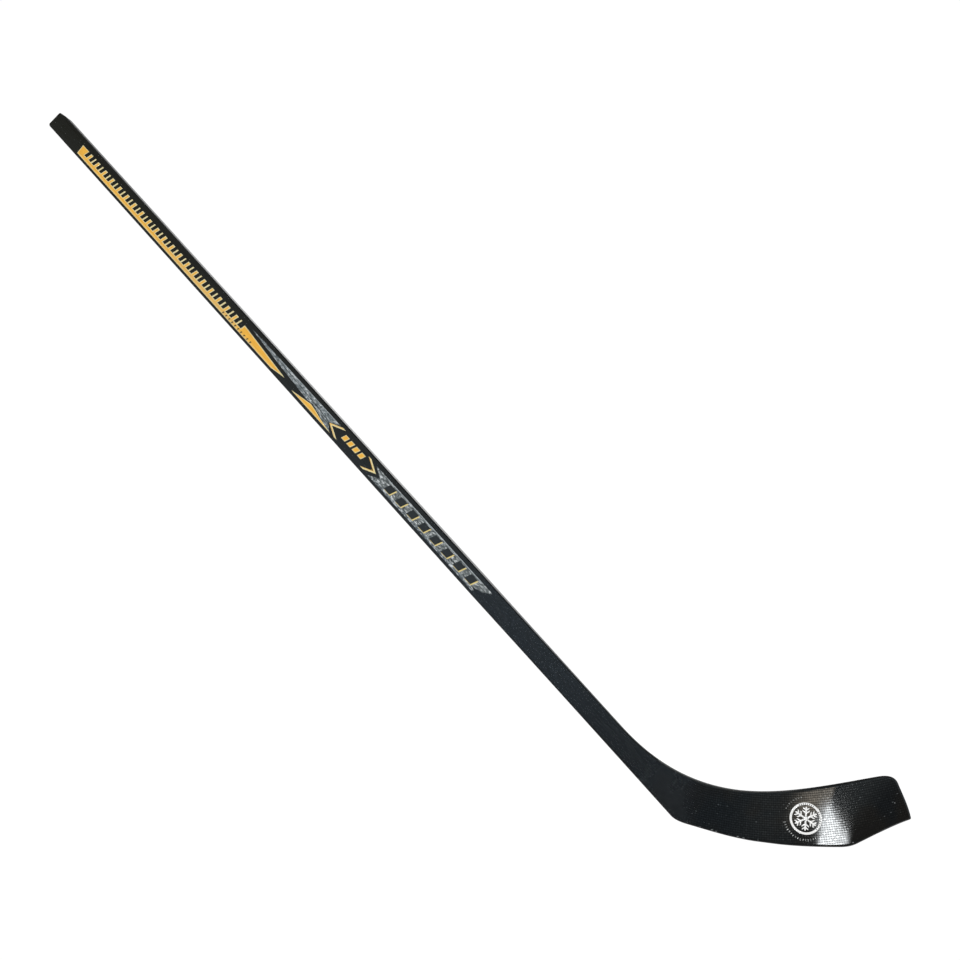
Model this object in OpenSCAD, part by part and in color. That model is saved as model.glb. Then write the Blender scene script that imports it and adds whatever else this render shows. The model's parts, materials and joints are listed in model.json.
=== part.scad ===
// Ice hockey stick: laminated wood shaft, glass-faced, with a tongued blade.
// Frame: +Z up, +X from the heel to the toe, -Y is the printed front face.
// Origin: middle of the small flat on the sole, on the shaft's middle plane.

/* [Shaft] */
// Length of the shaft's centre line, from the butt to the heel
shaft_len = 1451; // [1250:1:1550]
// Width of the wide faces
shaft_w = 30; // [28:0.5:32]
// Thickness across the wide faces
shaft_t = 19.5; // [18:0.5:21]
// Radius of the four long corners
corner_r = 2.6; // [1.5:0.1:3.5]
// Angle between the shaft and the ice
lie = 41.6; // [40:0.1:43]
// Rounding of the butt end
butt_r = 4.5; // [2:0.5:6]

/* [Plies] */
// Thickness of each glass facing, wrap and cloth
glass_t = 0.6; // [0.4:0.1:0.8]
// Thickness of each birch veneer
veneer_t = 2.0; // [1.4:0.1:2.6]
// Thickness of the middle ply and of the blade's tongue
tongue_t = 5.2; // [4.4:0.1:6]
// Length of the blade's tongue inside the shaft's fork
tongue_len = 155; // [110:5:190]

/* [Neck] */
// Distance from the heel end of the centre line to where the taper starts
taper_start = 391; // [300:1:420]
// Distance from the heel end of the centre line to the shoulder
shoulder = 66; // [62:1:70]
// How quickly the taper falls away at first
taper_power = 1.6; // [1.2:0.1:2]

/* [Blade] */
// Blade length from the heel corner to the toe tip
blade_len = 284; // [276:1:296]
// Height of the top edge at the toe
toe_h = 97; // [92:1:100]
// Height of the top edge at its lowest
mid_h = 59.4; // [57:0.2:62]
// Height of the pointed toe tip
tip_h = 47; // [43:0.5:50]
// Blade thickness at the heel
heel_t = 8.4; // [7.8:0.1:9]
// Blade thickness at the toe
toe_t = 6.0; // [5:0.1:7]
// Length of the true flat on the sole
sole_flat = 24; // [16:1:30]
// Depth of the rim that closes the cloth round the blade's edge
rim_d = 1.4; // [1:0.1:2]
// Height of the glue line between the blade's board and its top strip
board_h = 57; // [54:0.5:58]

/* [Curve] */
// Where along the blade the gentle curve starts
curve_x = -45; // [-60:1:-30]
// Radius of the gentle curve
curve_r = 1300; // [1100:10:2000]
// Where the toe hook starts, measured across its bend lines
hook_w = 105; // [90:1:130]
// Extra radius of the toe hook
hook_r = 300; // [260:5:500]
// Lean of the bend lines, which opens the face towards the toe
open_deg = 12; // [0:1:15]

/* [Hidden] */

$fn = 48;
glass_black = [0.10, 0.11, 0.12];
birch = [0.84, 0.72, 0.52];
aspen = [0.90, 0.82, 0.66];
ash = [0.78, 0.64, 0.44];

// ---- Shaft frame ----
// "Back" is the distance from the heel end of the centre line towards the butt.
line_end = [-106.9, 25.2];             // heel end of the centre line, [x, z]
down_dir = [cos(lie), -sin(lie)];      // along the shaft, towards the heel
across_dir = [sin(lie), cos(lie)];     // across the wide face, upwards
half_w = shaft_w/2;

function line_point(back, across) = line_end - back * down_dir + across * across_dir;

// Moves a piece from the shaft's frame (X = -back, Y, Z = across) into place
module on_shaft() {
    translate([line_end[0], 0, line_end[1]]) rotate([0, lie, 0]) children();
}

// ---- Outline of the neck and blade, as [x, z] ----
heel_x = -116;                         // heel corner
drawn_len = 284;                       // blade length the table below is drawn for
stretch = blade_len / drawn_len;
outline_back = taper_start + 60;       // the outline's end up the shaft
top_join = line_point(127, half_w);    // where the top edge leaves the shaft
low_join = line_point(6, -half_w);     // where the heel's round leaves the shaft
sole_heel = [-sole_flat/2, 0];
sole_toe = [sole_flat/2, 0];

// Point of the drawn blade, stretched in X from the heel corner
function blade_point(x, z) = [heel_x + (x - heel_x) * stretch, z];

// Curve tables: first handle, second handle, end point, steps.
// Each curve starts where the one before it ends.
heel_curves = [
    [line_point(0, -half_w), blade_point(-111, 11.9), blade_point(-102, 10.2), 6],
    [blade_point(-74, 5.8), sole_heel - [30, 0], sole_heel, 8]];
toe_and_top_curves = [
    [blade_point(36, 0.4), blade_point(63, 3.0), blade_point(87, 5.8), 8],
    [blade_point(94, 6.7), blade_point(100, 8.6), blade_point(105, 11.6), 5],
    [blade_point(124, tip_h/2), blade_point(148, tip_h - 8.5),
     blade_point(166, tip_h - 0.7), 8],
    [blade_point(167.6, tip_h), blade_point(168.2, tip_h + 0.8),
     blade_point(167.9, tip_h + 2), 4],
    [blade_point(164.3, tip_h + 15.5), blade_point(157.5, toe_h - 22.5),
     blade_point(151.2, toe_h - 9.8), 8],
    [blade_point(147.5, toe_h + 0.5), blade_point(138, toe_h + 1.2),
     blade_point(127, toe_h - 1.7), 8],
    [blade_point(74, toe_h - 16.7), blade_point(18, mid_h + 1.1),
     blade_point(-37.5, mid_h), 14],
    [blade_point(-82, mid_h - 0.4), top_join + 75 * down_dir, top_join, 14]];

// Cubic curve through two ends and two handles, without its first point
function cubic(start, handle1, handle2, end, steps) = [
    for (i = [1:steps])
        let (t = i / steps, u = 1 - t)
        u*u*u*start + 3*u*u*t*handle1 + 3*u*t*t*handle2 + t*t*t*end];

// Points of a whole curve table
function curve_chain(start, rows) = [
    for (i = [0:len(rows) - 1])
        let (row = rows[i], from = i == 0 ? start : rows[i - 1][2])
        for (point = cubic(from, row[0], row[1], row[2], row[3])) point];

// Closed, anticlockwise seen from the front
outline = concat(
    [line_point(outline_back, -half_w), low_join],
    curve_chain(low_join, heel_curves),
    [sole_toe],
    curve_chain(sole_toe, toe_and_top_curves),
    [line_point(outline_back, half_w)]);

// A closed anticlockwise outline moved inwards along its own normals
function unit(v) = v / norm(v);
function left_normal(v) = [-v[1], v[0]];
function inward(points, inset) = [
    for (i = [0:len(points) - 1])
        let (count = len(points),
             before = points[(i + count - 1) % count],
             here = points[i],
             after = points[(i + 1) % count],
             normals = left_normal(unit(here - before)) + left_normal(unit(after - here)))
        here + normals * (2 * inset / (normals * normals))];
inner_outline = inward(outline, rim_d);

// ---- Layers through the thickness ----
// A face is [side, depth below the surface]; a layer lies between two faces
front_skin = [-1, 0];
front_inner = [-1, glass_t];
back_inner = [1, glass_t];
back_skin = [1, 0];
front_glass = [front_skin, front_inner];
wood = [front_inner, back_inner];
back_glass = [back_inner, back_skin];
full_depth = [front_skin, back_skin];

function face_y(half, face) = face[0] * (half - face[1]);

// ---- Blade curve; w is the distance across the bend lines ----
bend_z = 30;                           // height at which w = 0 falls on curve_x
toe_w = 240 * stretch;                 // where the blade reaches its toe thickness
hook_steps = 9;
gentle_steps = 5;
blade_stations = concat(
    [-200, -90, 0],
    [for (i = [1:gentle_steps]) hook_w * i / gentle_steps],
    [for (i = [1:hook_steps]) hook_w + (toe_w + 10 - hook_w) * i / hook_steps]);

// Distance of the blade's middle behind the shaft's middle plane
function sag(w, radius) = w > 0 ? w*w / (2*radius) : 0;
function bend_y(w) = sag(w, curve_r) + sag(w - hook_w, hook_r);
function blade_half(w) = (heel_t + (toe_t - heel_t) * max(0, min(1, w / toe_w))) / 2;

// One layer of the blade, unbounded by its outline
module blade_sheet(layer) {
    last = len(blade_stations) - 1;
    from_edge = [for (w = blade_stations) [w, bend_y(w) + face_y(blade_half(w), layer[0])]];
    to_edge = [for (i = [last:-1:0]) let (w = blade_stations[i])
        [w, bend_y(w) + face_y(blade_half(w), layer[1])]];
    translate([curve_x, 0, bend_z]) rotate([0, open_deg, 0])
        linear_extrude(height = 420, center = true) polygon(concat(from_edge, to_edge));
}

// ---- Neck taper ----
neck_steps = 16;
neck_stations = [for (i = [0:neck_steps])
    taper_start + (shoulder - taper_start) * i / neck_steps];

// Half thickness of the neck at a distance back from the heel end
function neck_half(back) =
    back >= taper_start ? shaft_t/2 :
    back <= shoulder ? heel_t/2 :
    let (u = (taper_start - back) / (taper_start - shoulder))
    shaft_t/2 - (shaft_t - heel_t)/2 * (1 - pow(1 - u, taper_power));

// Neck stations by index
function stations(first, last) = [for (i = [first:last]) neck_stations[i]];

// Edge of a face along the neck, in the shaft's frame
function neck_edge(backs, face) = [for (back = backs) [-back, face_y(neck_half(back), face)]];
function reversed(list) = [for (i = [len(list) - 1:-1:0]) list[i]];

// One layer of the neck over the given stations, unbounded in width
module neck_sheet(layer, backs) {
    on_shaft() linear_extrude(height = 170, center = true)
        polygon(concat(neck_edge(backs, layer[0]), reversed(neck_edge(backs, layer[1]))));
}

// ---- Areas of the X-Z plane ----
blade_span = [-40, 60];                // Y range that holds the curved blade
neck_span = [-40, 40];                 // Y range that holds the neck

// Upright plate of a flat X-Z shape over a Y range
module plate(span) {
    translate([0, span[1], 0]) rotate([90, 0, 0])
        linear_extrude(span[1] - span[0]) children();
}

// Everything up the shaft from the shoulder
module neck_area() {
    top_back = outline_back + 5;
    polygon([line_point(top_back, -60), line_point(shoulder, -60),
             line_point(shoulder, 90), line_point(top_back, 90)]);
}

// Crook between the shaft and the blade's top edge
module crook_area() {
    top_back = 112;
    low_back = 14;
    toe_side_x = -44;
    polygon([line_point(top_back, half_w), line_point(low_back, half_w),
             [toe_side_x, mid_h - 6], [toe_side_x, 90],
             line_point(top_back, half_w + 60)]);
}

// Top strip of the blade, just above the glue line
module strip_area() {
    strip_x = [-26, 220];
    low_z = board_h + 0.01;
    top_z = 160;
    polygon([[strip_x[0], low_z], [strip_x[1], low_z],
             [strip_x[1], top_z], [strip_x[0], top_z]]);
}

// ---- Shaft ----
// Long rectangle whose two butt corners are quarter rounds
function butt_shape(half, radius) = let (steps = 6, x = radius - shaft_len) concat(
    [for (i = [0:steps]) let (a = 90*i/steps)
        [x - radius*sin(a), -half + radius - radius*cos(a)]],
    [for (i = [0:steps]) let (a = 90*i/steps)
        [x - radius*cos(a), half - radius + radius*sin(a)]],
    [[60, half], [60, -half]]);

// Round-cornered bar of the shaft, with its butt end rounded over
module rounded_bar() {
    thin_butt_r = butt_r * 0.6;        // rounding across the thickness
    on_shaft() intersection() {
        translate([-shaft_len, 0, 0]) rotate([0, 90, 0])
            linear_extrude(shaft_len + 20) {
                square([shaft_w - 2*corner_r, shaft_t], center = true);
                square([shaft_w, shaft_t - 2*corner_r], center = true);
                for (i = [-1, 1], j = [-1, 1])
                    translate([i * (half_w - corner_r), j * (shaft_t/2 - corner_r)])
                        circle(corner_r);
            }
        rotate([90, 0, 0]) linear_extrude(height = 2*shaft_t, center = true)
            polygon(butt_shape(half_w, butt_r));
        linear_extrude(height = 2*shaft_w, center = true)
            polygon(butt_shape(shaft_t/2, thin_butt_r));
    }
}

// One layer of the shaft from y0 to y1, from the butt to a distance back from
// the heel end; the taper, less the glass that covers it, cuts it to depth
module ply(y0, y1, stop, cover) {
    intersection() {
        on_shaft() translate([-shaft_len - 1, y0, -half_w - 1])
            cube([shaft_len + 1 - stop, y1 - y0, shaft_w + 2]);
        rounded_bar();
        on_shaft() linear_extrude(height = 80, center = true)
            polygon(concat(
                [[-shaft_len - 2, shaft_t], [-shaft_len - 2, -shaft_t],
                 [-taper_start, -shaft_t]],
                neck_edge(neck_stations, [-1, cover]),
                reversed(neck_edge(neck_stations, [1, cover])),
                [[-taper_start, shaft_t]]));
    }
}

// Depths of the glue faces from the middle plane
y_glass = shaft_t/2 - glass_t;
y_veneer = y_glass - veneer_t;
y_tongue = tongue_t/2;

module shaft_middle_ply() {
    color(birch) ply(-y_tongue, y_tongue, shoulder + tongue_len, glass_t);
}
module shaft_front_board() { color(aspen) ply(-y_veneer, -y_tongue, shoulder, glass_t); }
module shaft_back_board() { color(aspen) ply(y_tongue, y_veneer, shoulder, glass_t); }
module shaft_front_veneer() { color(birch) ply(-y_glass, -y_veneer, shoulder, glass_t); }
module shaft_back_veneer() { color(birch) ply(y_veneer, y_glass, shoulder, glass_t); }
module shaft_front_glass() { color(glass_black) ply(-shaft_t, -y_glass, taper_start, 0); }
module shaft_back_glass() { color(glass_black) ply(y_glass, shaft_t, taper_start, 0); }

// ---- Neck ----
// Glass wrap on one side of the neck, from the taper's start to the shoulder;
// its upper part keeps the bar's round corners, its lower part is square-edged
module neck_wrap(layer) {
    change = 9;                        // station where the two parts meet
    color(glass_black) {
        intersection() {
            neck_sheet(layer, stations(0, change));
            rounded_bar();
        }
        intersection() {
            neck_sheet(layer, stations(change, neck_steps));
            plate(neck_span) polygon(outline);
        }
    }
}
module neck_front_wrap() { neck_wrap(front_glass); }
module neck_back_wrap() { neck_wrap(back_glass); }

// Wedge that fills the crook; it lies where the blade is still flat, so one
// neck sheet, run on past the heel end, gives both its faces
module throat_block() {
    first_station = 11;
    past_heel = 70;
    color(ash) intersection() {
        plate(blade_span) intersection() {
            polygon(outline);
            crook_area();
            union() {
                polygon(inner_outline);
                neck_area();
            }
        }
        neck_sheet(wood, concat(stations(first_station, neck_steps), [-past_heel]));
    }
}

// ---- Blade ----
// Main board of the blade with the tongue that enters the shaft's fork
module blade_core() {
    root_len = 20;                     // block that joins tongue and board
    root_inset = 2;
    color(ash) {
        intersection() {
            plate(blade_span) difference() {
                polygon(inner_outline);
                crook_area();
                strip_area();
                neck_area();
            }
            blade_sheet(wood);
        }
        on_shaft() translate([-shoulder - tongue_len, -y_tongue, -half_w])
            cube([tongue_len, tongue_t, shaft_w]);
        on_shaft() translate([-shoulder - root_len/2, -y_tongue, -half_w + root_inset])
            cube([root_len, tongue_t, shaft_w - 2*root_inset]);
    }
}

module blade_top_strip() {
    color(birch) intersection() {
        plate(blade_span) intersection() {
            polygon(inner_outline);
            strip_area();
        }
        blade_sheet(wood);
    }
}

// Woven glass cloth on one side of the blade
module blade_cloth(layer) {
    color(glass_black) intersection() {
        plate(blade_span) difference() {
            polygon(inner_outline);
            neck_area();
        }
        blade_sheet(layer);
    }
}
module blade_front_cloth() { blade_cloth(front_glass); }
module blade_back_cloth() { blade_cloth(back_glass); }

// Resin-filled fold of the cloth round the blade's edge
module blade_edge_rim() {
    color(glass_black) intersection() {
        plate(blade_span) difference() {
            polygon(outline);
            polygon(inner_outline);
            neck_area();
        }
        blade_sheet(full_depth);
    }
}

shaft_middle_ply();
shaft_front_board();
shaft_back_board();
shaft_front_veneer();
shaft_back_veneer();
shaft_front_glass();
shaft_back_glass();
neck_front_wrap();
neck_back_wrap();
throat_block();
blade_core();
blade_top_strip();
blade_front_cloth();
blade_back_cloth();
blade_edge_rim();
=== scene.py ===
"""A laminated stick: a straight slanted shaft and a cloth-covered blade.

Row frame: +X towards the blade's toe, +Z up, and the front faces -Y. Lengths are in
millimetres and are turned into metres when a mesh is made. On the shaft, "along" runs from
the butt down the centre line, "back" runs from its heel end up towards the butt, "across" runs
over the wide face towards the upper edge, and "depth" is Y. Blade shapes are X-Z points.
"""
import json
import math
from functools import cached_property

import bmesh
import bpy
import numpy as np
from mathutils import Matrix, Vector


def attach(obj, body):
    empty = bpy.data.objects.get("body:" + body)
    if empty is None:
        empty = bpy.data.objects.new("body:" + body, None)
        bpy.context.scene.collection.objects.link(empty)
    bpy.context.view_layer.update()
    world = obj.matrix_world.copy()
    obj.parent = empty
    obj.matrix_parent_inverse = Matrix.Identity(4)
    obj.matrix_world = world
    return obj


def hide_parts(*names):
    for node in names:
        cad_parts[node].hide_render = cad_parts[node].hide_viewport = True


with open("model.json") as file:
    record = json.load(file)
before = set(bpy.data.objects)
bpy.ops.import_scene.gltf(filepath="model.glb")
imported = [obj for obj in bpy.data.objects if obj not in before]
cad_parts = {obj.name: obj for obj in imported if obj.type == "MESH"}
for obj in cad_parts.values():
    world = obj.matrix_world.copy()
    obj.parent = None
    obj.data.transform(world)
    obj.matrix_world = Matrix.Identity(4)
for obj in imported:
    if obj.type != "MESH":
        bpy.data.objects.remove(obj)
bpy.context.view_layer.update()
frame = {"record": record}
rng = np.random.RandomState(11)

# ------------------------------------------------------------------ the frame
mounts = {m["name"]: m for m in frame["record"]["mounts"]}


def place(name):
    return np.array(mounts[name]["pos_m"], float) * 1000.0


SOLE = place("blade_sole")
BUTT = place("butt_end")
up_axis = np.array(mounts["butt_end"]["axis"], float)
DOWN = -up_axis / np.linalg.norm(up_axis)  # down the shaft
ACROSS = np.array([-DOWN[2], 0.0, DOWN[0]])  # across the wide face, upwards
HALF_T = (place("back_face")[1] - place("front_face")[1]) / 2  # half the shaft's thickness
HALF_W = float((place("upper_edge") - place("lower_edge")) @ ACROSS) / 2  # half its width
HEEL_END = SOLE + np.array([-106.9, 0.0, 25.2])
LENGTH = float((HEEL_END - BUTT) @ DOWN)  # length of the centre line

GLASS = 0.6  # thickness of facings, wraps and cloths
VENEER = 2.0
TONGUE = 2.6  # half thickness of the middle ply and of the core's tongue
TONGUE_LEN = 155.0
TAPER = 391.0  # distance back at which the neck starts to thin
SHOULDER = 66.0  # distance back at which the neck meets the blade
HEEL_T = 8.4  # blade thickness at the heel
TOE_T = 6.0  # and at the toe
RIM = 1.4  # width of the resin edge
CORNER = 1.5  # corner radius of the shaft
EDGE_R = 2.4  # edge radius of the blade
BEND_X, BEND_Z = -45.0, 30.0  # where the blade's curve starts
BEND_TILT = math.radians(12.0)  # lean of the line it bends about

GLASS_Y = HALF_T - GLASS  # depth where the facing starts
VENEER_Y = GLASS_Y - VENEER  # depth where the veneer starts


def on_line(back, across):
    """X-Z point at a distance back along the centre line."""
    p = HEEL_END - back * DOWN + across * ACROSS
    return np.array([p[0], p[2]])


def back_of(p):
    return -((p[..., 0] - HEEL_END[0]) * DOWN[0] + (p[..., 1] - HEEL_END[2]) * DOWN[2])


def across_of(p):
    return (p[..., 0] - HEEL_END[0]) * ACROSS[0] + (p[..., 1] - HEEL_END[2]) * ACROSS[2]


def shaft_point(along, across, depth):
    """Row frame points from lengths along, across and through the shaft."""
    along, across, depth = np.broadcast_arrays(
        np.asarray(along, float), np.asarray(across, float), np.asarray(depth, float))
    p = BUTT + along[..., None] * DOWN + across[..., None] * ACROSS
    p[..., 1] = depth
    return p


def neck_half(back):
    """Half thickness of the shaft and neck."""
    u = np.clip((TAPER - np.asarray(back, float)) / (TAPER - SHOULDER), 0, 1)
    return HALF_T - (HALF_T - HEEL_T / 2) * (1 - (1 - u) ** 1.6)


def corner_at(back):
    """Corner radius, which grows down the neck."""
    return CORNER + (EDGE_R - CORNER) * float(np.clip((TAPER - back) / (TAPER - SHOULDER), 0, 1))


def past_bend(p):
    return ((p[..., 0] - BEND_X) * math.cos(BEND_TILT)
            - (p[..., 1] - BEND_Z) * math.sin(BEND_TILT))


def half_at(p):
    """Half thickness of the neck or blade at X-Z points."""
    back = back_of(p)
    blade = (HEEL_T + (TOE_T - HEEL_T) * np.clip(past_bend(p) / 240.0, 0, 1)) / 2
    return np.where(back >= SHOULDER, neck_half(back), blade)


def middle_at(p):
    """Depth of the mid plane: the blade curls to the back, more so near the toe."""
    w = past_bend(p)
    curl = np.where(w > 0, w * w / 2600.0, 0) + np.where(w > 105, (w - 105) ** 2 / 600.0, 0)
    return np.where(back_of(p) >= SHOULDER, 0.0, curl)


def rounded(half, inside, radius=EDGE_R):
    """Half thickness at a distance inside an edge that is rounded by radius."""
    d = np.clip(radius - inside, 0, radius)
    return half - radius + np.sqrt(np.maximum(radius * radius - d * d, 0))


# ------------------------------------------------------------------ outline
def bezier(a, b, c, d, count):
    t = np.linspace(0, 1, count + 1)[1:, None]
    u = 1 - t
    a, b, c, d = [np.asarray(v, float) for v in (a, b, c, d)]
    return u**3 * a + 3 * u * u * t * b + 3 * u * t * t * c + t**3 * d


def chain(start, *curves):
    """Bezier curves end to end, each (handle, handle, end, steps); start is left out."""
    parts = []
    for handle_a, handle_b, end, count in curves:
        parts.append(bezier(start, handle_a, handle_b, end, count))
        start = end
    return np.vstack(parts)


def arc_lengths(p):
    return np.r_[0, np.cumsum(np.linalg.norm(np.diff(p, axis=0), axis=1))]


def even(p, step):
    """The line p with points at even steps."""
    arc = arc_lengths(p)
    count = max(int(round(arc[-1] / step)), 2)
    t = np.linspace(0, arc[-1], count + 1)
    return np.stack([np.interp(t, arc, p[:, 0]), np.interp(t, arc, p[:, 1])], -1)


def nearest(points, target):
    return np.linalg.norm(points - np.array(target), axis=1).argmin()


TIP_LOW = (166, 46.3)
TIP_TOP = (167.9, 49)
CROOK_BACK = 127  # where the upper edge leaves the straight
low_start = on_line(SHOULDER, -HALF_W)
low_join = on_line(6, -HALF_W)
top_join = on_line(CROOK_BACK, HALF_W)
lower = np.vstack([
    [low_start],
    low_start + (low_join - low_start) * np.linspace(0, 1, 31)[1:, None],
    chain(low_join,
          (on_line(0, -HALF_W), (-111, 11.9), (-102, 10.2), 18),
          ((-74, 5.8), (-42, 0), (-12, 0), 60)),
    [(x, 0.0) for x in np.linspace(-12, 12, 13)[1:]],
    chain((12, 0),
          ((36, 0.4), (63, 3), (87, 5.8), 50),
          ((94, 6.7), (100, 8.6), (105, 11.6), 18),
          ((124, 23.5), (148, 38.5), TIP_LOW, 56))])
tip_arc = chain(TIP_LOW, ((167.6, 47), (168.2, 47.8), TIP_TOP, 12))
crook = np.vstack([[top_join], chain(
    top_join, (top_join + 75 * DOWN[[0, 2]], (-82, 59.0), (-37.5, 59.4), 120))])
upper_all = np.vstack([crook, chain(
    (-37.5, 59.4),
    ((18, 60.5), (74, 80.3), (127, 95.3), 130),
    ((138, 98.2), (147.5, 97.5), (151.2, 87.2), 40),
    ((157.5, 74.5), (164.3, 62.5), TIP_TOP, 36))])
# the part of the upper curve ahead of the shoulder
cut = int(np.argmax(back_of(upper_all) < SHOULDER))
before, after = upper_all[cut - 1], upper_all[cut]
share = (back_of(before) - SHOULDER) / (back_of(before) - back_of(after))
upper = np.vstack([[before + share * (after - before)], upper_all[cut:]])
crook_back = back_of(crook)[::-1]
crook_across = across_of(crook)[::-1]


def neck_top(back):
    """How far across the neck's upper edge is."""
    return np.where(np.asarray(back) >= CROOK_BACK, HALF_W,
                    np.interp(back, crook_back, crook_across))


def normals_left(p):
    """Unit normals to the left of the walk along p."""
    t = np.gradient(p, axis=0)
    t /= np.linalg.norm(t, axis=1)[:, None]
    return np.stack([-t[:, 1], t[:, 0]], -1)


# whole edge, anticlockwise seen from the front, from the shoulder's lower
# side round the toe to its upper side
edge = even(np.vstack([lower, tip_arc, upper[::-1][1:]]), 1.0)
inward = normals_left(edge)
# near both ends the normals turn to lie along the shoulder's cut
END_TURN = 7.0
edge_arc = arc_lengths(edge)
for k in range(len(edge)):
    turn = max(0.0, 1 - min(edge_arc[k], edge_arc[-1] - edge_arc[k]) / END_TURN)
    if turn > 0:
        cut_dir = ACROSS[[0, 2]] if edge_arc[k] < 50 else -ACROSS[[0, 2]]
        inward[k] = inward[k] * (1 - turn) + cut_dir / (cut_dir @ inward[k]) * turn
inner = edge + RIM * inward
tip_low_k = int(nearest(edge, TIP_LOW))
tip_top_k = int(nearest(edge, TIP_TOP))
inner_low = inner[: tip_low_k + 1]
inner_up = inner[tip_top_k:][::-1]


def project(points, line, chunk=4000):
    """For each point: nearest segment of the line, share along it, offset from it."""
    along = np.diff(line, axis=0)
    square = (along**2).sum(1)
    found = []
    for i in range(0, len(points), chunk):
        rel = points[i: i + chunk, None, :] - line[None, :-1]
        share = np.clip((rel * along).sum(-1) / square, 0, 1)
        offset = rel - share[..., None] * along
        segment = (offset**2).sum(-1).argmin(1)
        row = np.arange(len(rel))
        found.append((segment, share[row, segment], offset[row, segment]))
    return [np.concatenate(part) for part in zip(*found)]


def edge_distance(p, reach=9.0):
    """Distance of X-Z points from the blade's edge, limited to reach."""
    offset = project(p, edge)[2]
    return np.minimum(np.sqrt((offset**2).sum(-1)), reach)


# ------------------------------------------------------------------ weave
# points on the middle line the cloth follows, neck to beyond the toe
spine_keys = np.array([
    on_line(150, 0), on_line(100, 0), on_line(60, 1.5), (-99, 37.5), (-57, 31.5), (-5, 31.2),
    (45, 37.0), (95, 48.5), (132, 60.0), (165, 72.0), (200, 85.0)])
spine = []
for k in range(1, len(spine_keys) - 2):  # Catmull-Rom curve through the keys
    p0, p1, p2, p3 = spine_keys[k - 1: k + 3]
    for t in np.linspace(0, 1, 24, endpoint=False):
        spine.append(0.5 * (2 * p1 + (p2 - p0) * t + (2 * p0 - 5 * p1 + 4 * p2 - p3) * t * t
                            + (3 * p1 - p0 - 3 * p2 + p3) * t**3))
spine = even(np.array(spine), 2.5)
spine = np.vstack([spine, spine[-1] + (spine[-1] - spine[-2]) * 20])
spine_arc = arc_lengths(spine)


def cloth_uv(p):
    """Length along the blade's middle line and distance across it."""
    segment, share, offset = project(p, spine)
    step = np.diff(spine, axis=0)
    side = np.sign(step[segment, 0] * offset[:, 1] - step[segment, 1] * offset[:, 0])
    u = spine_arc[segment] + share * np.sqrt((step**2).sum(1)[segment])
    return u, side * np.linalg.norm(offset, axis=1)


PITCH = 2.8  # yarn spacing
RELIEF = 0.0035  # height of the weave
# level of the yarns running along and across, and how much they go over and under
ALONG_LEVEL, CROSS_LEVEL, WAVE = 0.62, 0.42, 0.38


def weave(u, v):
    a, b = u / PITCH, v / PITCH
    i, j = np.floor(a), np.floor(b)
    cell_u, cell_v = a - i - 0.5, b - j - 0.5
    sign = np.where((i + j) % 2 == 0, 1.0, -1.0)
    along = np.cos(np.pi * cell_v) * (ALONG_LEVEL + WAVE * sign * np.cos(np.pi * cell_u))
    cross = np.cos(np.pi * cell_u) * (CROSS_LEVEL - WAVE * sign * np.cos(np.pi * cell_v))
    return np.maximum(along, cross)


def smoothstep(x, a, b):
    t = np.clip((np.asarray(x, float) - a) / (b - a), 0, 1)
    return t * t * (3 - 2 * t)


def relief_fade(p, inside):
    """Where the weave stands out: not at the edge, the heel or low on the toe."""
    x = p[:, 0]
    above_toe_line = p[:, 1] - (22 + (x - 84) * 0.40)
    toe = np.maximum(smoothstep(above_toe_line, -4, 4), smoothstep(-x, -96, -84))
    heel = smoothstep(x, -118, -70)
    return smoothstep(inside, RIM, 3.4) * (0.25 + 0.75 * heel) * (0.2 + 0.8 * toe)


def relief(p):
    """Weave height, distance inside the edge, and cloth coordinates."""
    u, v = cloth_uv(p)
    inside = edge_distance(p)
    return RELIEF * relief_fade(p, inside) * weave(u, v), inside, u, v


# ------------------------------------------------------------------ meshes
def make(name, mesh, material, slot, replaces=None, sharp=38.0):
    """Object from (verts, faces) in mm; edges over sharp degrees stay sharp, None is flat."""
    verts, faces = mesh
    me = bpy.data.meshes.new(name)
    me.from_pydata((np.asarray(verts, float) * 0.001).tolist(), [],
                   [tuple(int(i) for i in face) for face in faces])
    me.validate(clean_customdata=False)
    me.update()
    bm = bmesh.new()
    bm.from_mesh(me)
    bmesh.ops.recalc_face_normals(bm, faces=bm.faces)
    if bm.calc_volume(signed=True) < 0:
        bmesh.ops.reverse_faces(bm, faces=bm.faces)
    bm.to_mesh(me)
    bm.free()
    if sharp is not None:
        me.shade_smooth()
        me.set_sharp_from_angle(angle=math.radians(sharp))
    o = bpy.data.objects.new(name, me)
    bpy.context.scene.collection.objects.link(o)
    me.materials.append(material)
    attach(o, "root")
    if replaces:
        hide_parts(replaces)
    return o


def loft(loops, closed=False):
    """Tube through loops of one length, capped unless it closes on itself."""
    rows, size = len(loops), len(loops[0])
    faces = []
    for i in range(rows if closed else rows - 1):
        a, b = i * size, ((i + 1) % rows) * size
        for j in range(size):
            j2 = (j + 1) % size
            faces.append((a + j, a + j2, b + j2, b + j))
    if not closed:
        faces.append(tuple(range(size))[::-1])
        faces.append(tuple(range((rows - 1) * size, rows * size)))
    return np.vstack(loops), faces


def join(*parts):
    verts, faces, base = [], [], 0
    for part_verts, part_faces in parts:
        verts.append(part_verts)
        faces += [tuple(i + base for i in face) for face in part_faces]
        base += len(part_verts)
    return np.vstack(verts), faces


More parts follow.
